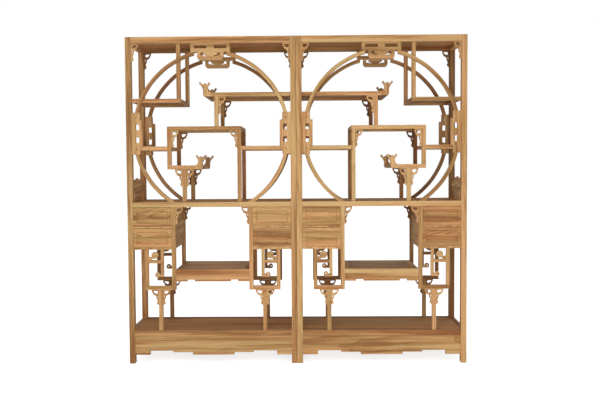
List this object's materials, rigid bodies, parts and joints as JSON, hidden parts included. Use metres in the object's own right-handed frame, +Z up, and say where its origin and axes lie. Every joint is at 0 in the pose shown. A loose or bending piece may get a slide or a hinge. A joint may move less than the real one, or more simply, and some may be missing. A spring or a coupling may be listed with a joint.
{
  "type": "display cabinet",
  "caption": "Pair of open display cabinets, mirror images: moon-shaped ring frames, staggered shelves, pierced brackets and frets, and drawers that slide out under the middle shelf.",
  "frame": {"origin": "floor level, on the seam between the two cabinets, at the middle of their depth", "axes": "+X to the right as seen from the front, +Y from the front to the back, +Z up"},
  "size_m": [2.0706, 0.35, 2],
  "materials": {
    "frame_elm": "oiled, straight grain",
    "panel_elm": "oiled, flat-sawn grain",
    "drawer_elm": "oiled, flat-sawn grain"
  },
  "bodies": {
    "cabinets": {"left_corner_posts": "frame_elm", "left_top_frame": "frame_elm", "left_top_panel": "panel_elm", "left_middle_shelf_frame": "frame_elm", "left_middle_shelf_panel": "panel_elm", "left_bottom_shelf_frame": "frame_elm", "left_bottom_shelf_panel": "panel_elm", "left_bottom_aprons": "frame_elm", "left_hanging_shelf": "frame_elm", "left_scroll_shelf": "frame_elm", "left_table_shelf": "frame_elm", "left_small_shelf": "frame_elm", "left_bridge_shelves": "frame_elm", "left_front_moon_ring": "frame_elm", "left_back_moon_ring": "frame_elm", "left_top_fretworks": "frame_elm", "left_side_fretworks": "frame_elm", "left_scroll_finials": "frame_elm", "left_corner_brackets": "frame_elm", "left_side_gallery": "frame_elm", "left_outer_drawer_case": "frame_elm", "left_inner_drawer_case": "frame_elm", "left_outer_fret_stands": "frame_elm", "left_inner_fret_stands": "frame_elm", "left_lower_shelf": "frame_elm", "right_corner_posts": "frame_elm", "right_top_frame": "frame_elm", "right_top_panel": "panel_elm", "right_middle_shelf_frame": "frame_elm", "right_middle_shelf_panel": "panel_elm", "right_bottom_shelf_frame": "frame_elm", "right_bottom_shelf_panel": "panel_elm", "right_bottom_aprons": "frame_elm", "right_hanging_shelf": "frame_elm", "right_scroll_shelf": "frame_elm", "right_table_shelf": "frame_elm", "right_small_shelf": "frame_elm", "right_bridge_shelves": "frame_elm", "right_front_moon_ring": "frame_elm", "right_back_moon_ring": "frame_elm", "right_top_fretworks": "frame_elm", "right_side_fretworks": "frame_elm", "right_scroll_finials": "frame_elm", "right_corner_brackets": "frame_elm", "right_side_gallery": "frame_elm", "right_outer_drawer_case": "frame_elm", "right_inner_drawer_case": "frame_elm", "right_outer_fret_stands": "frame_elm", "right_inner_fret_stands": "frame_elm", "right_lower_shelf": "frame_elm"},
    "left_outer_lower_drawer": {"left_outer_lower_drawer": "drawer_elm"},
    "left_outer_upper_drawer": {"left_outer_upper_drawer": "drawer_elm"},
    "left_inner_lower_drawer": {"left_inner_lower_drawer": "drawer_elm"},
    "left_inner_upper_drawer": {"left_inner_upper_drawer": "drawer_elm"},
    "right_outer_lower_drawer": {"right_outer_lower_drawer": "drawer_elm"},
    "right_outer_upper_drawer": {"right_outer_upper_drawer": "drawer_elm"},
    "right_inner_lower_drawer": {"right_inner_lower_drawer": "drawer_elm"},
    "right_inner_upper_drawer": {"right_inner_upper_drawer": "drawer_elm"}
  },
  "joints": [
    {"name": "left_outer_lower_drawer_slide", "type": "slide", "parent": "cabinets", "child": "left_outer_lower_drawer", "axis": [0, -1, 0], "range_m": [0, 0.25]},
    {"name": "left_outer_upper_drawer_slide", "type": "slide", "parent": "cabinets", "child": "left_outer_upper_drawer", "axis": [0, -1, 0], "range_m": [0, 0.25]},
    {"name": "left_inner_lower_drawer_slide", "type": "slide", "parent": "cabinets", "child": "left_inner_lower_drawer", "axis": [0, -1, 0], "range_m": [0, 0.25]},
    {"name": "left_inner_upper_drawer_slide", "type": "slide", "parent": "cabinets", "child": "left_inner_upper_drawer", "axis": [0, -1, 0], "range_m": [0, 0.25]},
    {"name": "right_outer_lower_drawer_slide", "type": "slide", "parent": "cabinets", "child": "right_outer_lower_drawer", "axis": [0, -1, 0], "range_m": [0, 0.25]},
    {"name": "right_outer_upper_drawer_slide", "type": "slide", "parent": "cabinets", "child": "right_outer_upper_drawer", "axis": [0, -1, 0], "range_m": [0, 0.25]},
    {"name": "right_inner_lower_drawer_slide", "type": "slide", "parent": "cabinets", "child": "right_inner_lower_drawer", "axis": [0, -1, 0], "range_m": [0, 0.25]},
    {"name": "right_inner_upper_drawer_slide", "type": "slide", "parent": "cabinets", "child": "right_inner_upper_drawer", "axis": [0, -1, 0], "range_m": [0, 0.25]}
  ]
}
